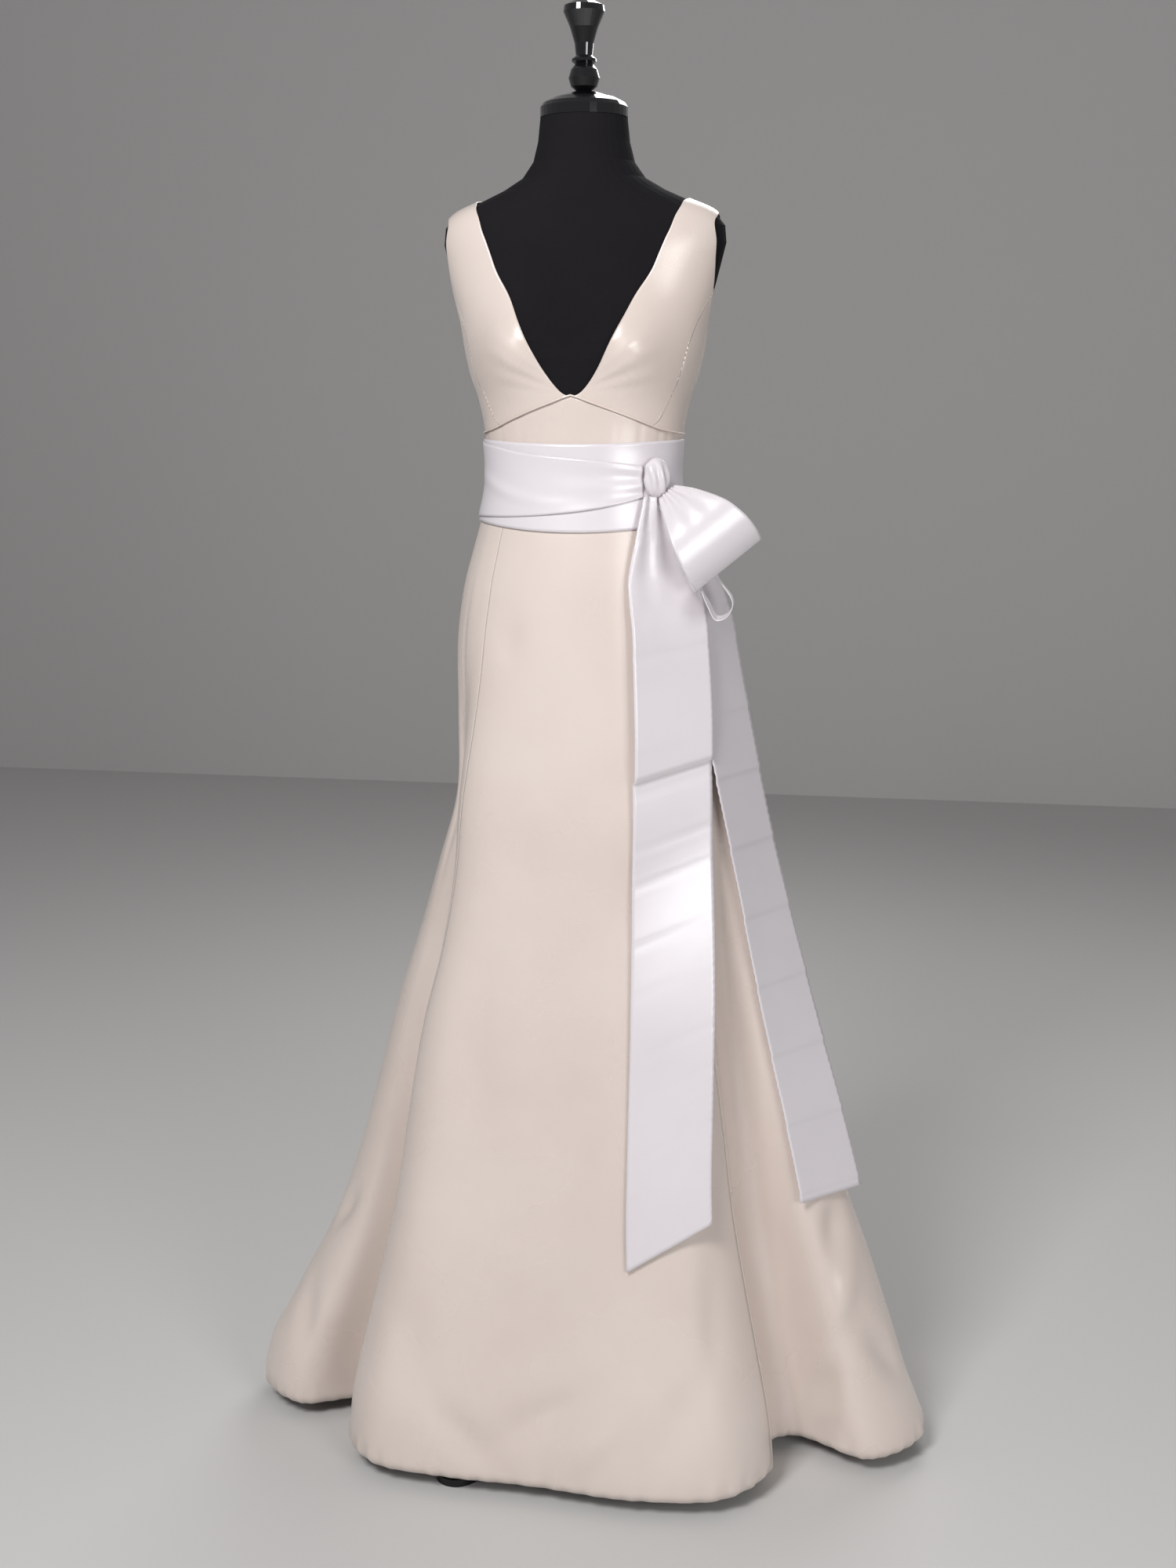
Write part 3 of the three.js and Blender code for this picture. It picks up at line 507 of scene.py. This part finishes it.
def wrap_edges(turn):
    return read(WRAP_EDGES, "turn", turn, "bottom"), read(WRAP_EDGES, "turn", turn, "top")


def band_relief(turn, v):
    """Shallow level pleats where the band is drawn to the knot."""
    pull = bell(turn - 52, 26)
    return -0.5 * pull * (1 + math.sin(v * 15)) - 0.25 * math.sin(v * 6 + turn * 0.08)


def wrap_relief(turn, v):
    """Slanting folds that deepen to the knot, and the soft bend by the side seam."""
    toward = max(0, (turn + 60) / 103)
    pleats = 0.9 * math.sin(v * 13 + toward * 3) * toward ** 2
    soft = 1.8 * bell(v - mix(0.62, 0.2, min(1, max(0, (turn + 85) / 70))), 0.09)
    return pleats + soft * bell(turn + 48, 34) + 0.5


def ribbon_grid(start, end, cols, out, edges, relief):
    return [[on_figure(turn, mix(*edges(turn), v), out + relief(turn, v))[0]
             for turn in (mix(start, end, u) for u in shares(cols))] for v in shares(26)]


def build_sash():
    pieces = {
        "sash_band_front": ribbon_grid(-97, 97, 130, BAND_OUT, band_edges, band_relief),
        "sash_band_back": ribbon_grid(97, 263, 110, BAND_OUT, lambda t: band_edges(90),
                                      lambda t, v: -0.25 * math.sin(v * 6 + t * 0.08)),
        "sash_wrap": ribbon_grid(-97, 43, 100, WRAP_OUT, wrap_edges, wrap_relief),
    }
    for node, points in pieces.items():
        obj = sheet_mesh(f"{node}_ribbon", trimmed(points), RIBBON_WALL, ribbon)
        declare(obj, points, node)


def tail_row(table, z, under, lift, cols):
    """A straight row of a tail, set off from whatever it lies on."""
    yaw = math.radians(read(table, "z", z, "yaw"))
    width, at = read(table, "z", z, "width"), read(table, "z", z, "at")
    face = np.array((math.sin(yaw), -math.cos(yaw), 0))
    run = np.array((math.cos(yaw), math.sin(yaw), 0))
    near = (under @ face > 0) & (np.abs(under @ run - at) < width / 2 + 5)
    reach = (under[near] @ face).max()
    gathers = max(0, (z - 1120) / 130)
    row = []
    for u in shares(cols):
        pleat = 2.2 * gathers * math.sin(u * 17) - 1.2 * gathers
        out = reach + TAIL_GAP + lift + RIBBON_WALL + pleat
        spot = run * (at + (u - 0.5) * width) + face * out
        row.append(np.array((spot[0], spot[1], z)))
    return row, face


def tail_grid(table, sections, ends, cols=24, folds=()):
    grid = []
    tops = np.array([section[0][2] for section in sections])
    reach = table["z"][-1]
    for v in shares(170):
        low = min(ends)
        z = reach + (low - reach) * v
        i = int(np.abs(tops - z).argmin())
        under = np.array(sections[i])
        lift = (WRAP_OUT - CLOTH_OUT) * min(1, max(0, (z - 1170) / 40))
        row, face = tail_row(table, max(z, table["z"][0]), under, lift, cols)
        dent = sum(depth * bell(z - at, 3.5) for at, depth in folds)
        wave = TAIL_WAVE * math.sin(z * 0.021)
        placed = []
        for j, spot in enumerate(row):
            end = mix(ends[0], ends[1], j / cols)
            height = reach + (end - reach) * v
            placed.append(np.array((spot[0], spot[1], height)) + face * (wave + TAIL_WAVE - dent))
        grid.append(placed)
    return grid[::-1]


def build_tails(rings):
    side = tail_grid(SIDE_TAIL, rings, (SIDE_TAIL_END, SIDE_TAIL_END))
    layered = []
    for section in rings:
        z = section[0][2]
        nearest = min(side, key=lambda row: abs(row[0][2] - z))
        close = abs(nearest[0][2] - z) < 9
        layered.append(np.vstack((section, nearest)) if close else section)
    front = tail_grid(FRONT_TAIL, layered, FRONT_TAIL_ENDS, folds=PACKET_FOLDS)
    for node, points in (("tail_side", side), ("tail_front", front)):
        obj = sheet_mesh(f"{node}_ribbon", points, RIBBON_WALL, ribbon)
        declare(obj, points, node)


BOW_YAW = math.radians(24)
BOW_OUT = np.array((math.sin(BOW_YAW), -math.cos(BOW_YAW), 0))
BOW_RIGHT = np.array((math.cos(BOW_YAW), math.sin(BOW_YAW), 0))
BOW_DOWN = math.cos(math.radians(53)) * BOW_RIGHT - np.array((0, 0, math.sin(math.radians(53))))
KNOT = np.array((15, 11, 24))
KNOT_CENTRE = on_figure(50, 1288, WRAP_OUT - 0.5 + KNOT[1] - 0.9)[0]
# along the loop, out from the body, half width
LARGE_LOOP = ((20.4, 5.5, 13), (38, 34, 28), (64, 56, 43), (92, 61, 50), (118, 54, 52),
              (131, 43, 52), (120, 33, 50), (92, 33, 46), (62, 31, 37), (40, 20, 26),
              (21.6, 1.5, 13))
# right, up, out, half width
SMALL_LOOP = ((7, -23.5, -5, 3), (28, -62, 9, 6), (58, -96, 19, 8), (74, -122, 22, 8),
              (86, -148, 44, 20), (76, -163, 54, 28), (62, -167, 54, 28), (52, -150, 50, 26),
              (49, -128, 22, 8), (42, -98, 19, 8), (20, -68, 9, 6), (0, -25.5, -5, 3))


def loop_grid(centres, acrosses, count, cols, gather):
    path, across = smooth_path(centres, count), smooth_path(acrosses, count)
    tangent = np.gradient(path, axis=0)
    normal = np.cross(across, tangent)
    normal /= np.linalg.norm(normal, axis=1, keepdims=True)
    grid = []
    for i in range(count + 1):
        at_knot = bell(min(i, count - i) / count, 0.13)
        row = []
        for u in shares(cols):
            pleat = gather * at_knot * math.sin(u * 19) * math.sin(math.pi * u) ** 0.5
            row.append(path[i] + across[i] * (2 * u - 1) + normal[i] * pleat)
        grid.append(row)
    return grid


def build_bow():
    bpy.ops.mesh.primitive_uv_sphere_add(segments=64, ring_count=40, radius=1)
    knot = bpy.context.object
    knot.name = "sash_knot_ribbon"
    turn = math.radians(36)
    for vertex in knot.data.vertices:
        x, y, z = vertex.co
        fold = 1.12 + 0.12 * math.sin(x * 9 + z * 2.5) * (1 - z * z)
        x, y, z = x * KNOT[0] * fold, y * KNOT[1] * fold, z * KNOT[2]
        vertex.co = (MM * (x * math.cos(turn) - y * math.sin(turn) + KNOT_CENTRE[0]),
                     MM * (x * math.sin(turn) + y * math.cos(turn) + KNOT_CENTRE[1]),
                     MM * (z + KNOT_CENTRE[2]))
    knot.data.materials.append(ribbon)
    knot.data.shade_smooth()
    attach(knot, "root")
    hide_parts("sash_knot")

    wide = np.cross(BOW_DOWN, BOW_OUT)
    large = loop_grid([KNOT_CENTRE + BOW_DOWN * a + BOW_OUT * o for a, o, h in LARGE_LOOP],
                      [wide * h for a, o, h in LARGE_LOOP], 120, 30, 1.8)
    hang = BOW_OUT * 0.94 - BOW_RIGHT * 0.34
    up = np.array((0, 0, 1))
    small = loop_grid([KNOT_CENTRE + BOW_RIGHT * r + up * z + BOW_OUT * o
                       for r, z, o, h in SMALL_LOOP],
                      [hang * h for r, z, o, h in SMALL_LOOP], 120, 16, 0.3)
    for node, points in (("bow_loop_large", large), ("bow_loop_small", small)):
        obj = sheet_mesh(f"{node}_ribbon", points, RIBBON_WALL, ribbon)
        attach(obj, "root")
        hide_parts(node)


# ---- stage, lamps and camera ----------------------------------------------------------------
def stage_set():
    bpy.ops.mesh.primitive_plane_add(size=12, location=(0, 1.5, 0))
    floor = bpy.context.object
    floor.name = "floor"
    floor.data.materials.append(plain_material("floor_paint", (0.62, 0.61, 0.60), 0.9))
    bpy.ops.mesh.primitive_plane_add(size=12, location=(0, 4.5, 3), rotation=(math.pi / 2, 0, 0))
    wall = bpy.context.object
    wall.name = "backdrop"
    wall.data.materials.append(plain_material("backdrop_paint", (0.62, 0.61, 0.60), 0.9))


def lamp(name, place, target, power, size):
    data = bpy.data.lights.new(name, "AREA")
    data.energy = power
    data.size = size
    obj = bpy.data.objects.new(name, data)
    bpy.context.scene.collection.objects.link(obj)
    obj.location = place
    direction = np.array(target) - np.array(place)
    yaw = math.atan2(direction[1], direction[0])
    tilt = math.atan2(math.hypot(direction[0], direction[1]), -direction[2])
    obj.rotation_euler = (tilt, 0, yaw - math.pi / 2)


def camera():
    azimuth, distance, height = math.radians(10.5), 2.52, 1.38
    data = bpy.data.cameras.new("camera")
    data.sensor_fit = "VERTICAL"
    data.sensor_height = 36
    data.lens = 45.7
    data.shift_x = 0.0025
    obj = bpy.data.objects.new("camera", data)
    bpy.context.scene.collection.objects.link(obj)
    obj.location = (distance * math.sin(azimuth), -distance * math.cos(azimuth), height)
    obj.rotation_euler = (math.radians(90 - 10.9), 0, azimuth)
    bpy.context.scene.camera = obj


def world():
    scene = bpy.context.scene
    scene.world = bpy.data.worlds.new("studio")
    scene.world.use_nodes = True
    back = scene.world.node_tree.nodes["Background"]
    back.inputs["Color"].default_value = (0.9, 0.9, 0.92, 1)
    back.inputs["Strength"].default_value = 0.22
    scene.view_settings.view_transform = "Standard"


def finish_cad():
    """The form and stand keep their CAD solids, and so does the seam's cord."""
    piping = frame["nodes"]["midriff_piping"].data.materials
    piping.clear()
    piping.append(satin)
    for node in ("form_torso", "neck_cap", "finial", "pole_socket", "pole", "pole_flange",
                 "stand_base"):
        obj = frame["nodes"][node]
        material = {"form_torso": jersey, "neck_cap": lacquer, "finial": lacquer}.get(node, steel)
        obj.data.materials.clear()
        obj.data.materials.append(material)
        bpy.ops.object.select_all(action="DESELECT")
        obj.select_set(True)
        bpy.context.view_layer.objects.active = obj
        bpy.ops.object.shade_smooth_by_angle(angle=math.radians(35))


# ---- run ------------------------------------------------------------------------------------
build_bodice()
build_midriff()
skirt_rings = build_skirt()
build_sash()
build_tails(skirt_rings)
build_bow()
finish_cad()
stage_set()
camera()
world()
# power in watts and the width of each square lamp, in metres
lamp("key", (-0.7, -2.6, 3.1), (0, 0, 0.9), 86, 1.0)
lamp("fill", (2.0, -2.6, 1.5), (0, 0, 0.7), 30, 1.2)
lamp("rim", (0.4, 2.2, 2.8), (0, 0, 1.2), 30, 1.6)
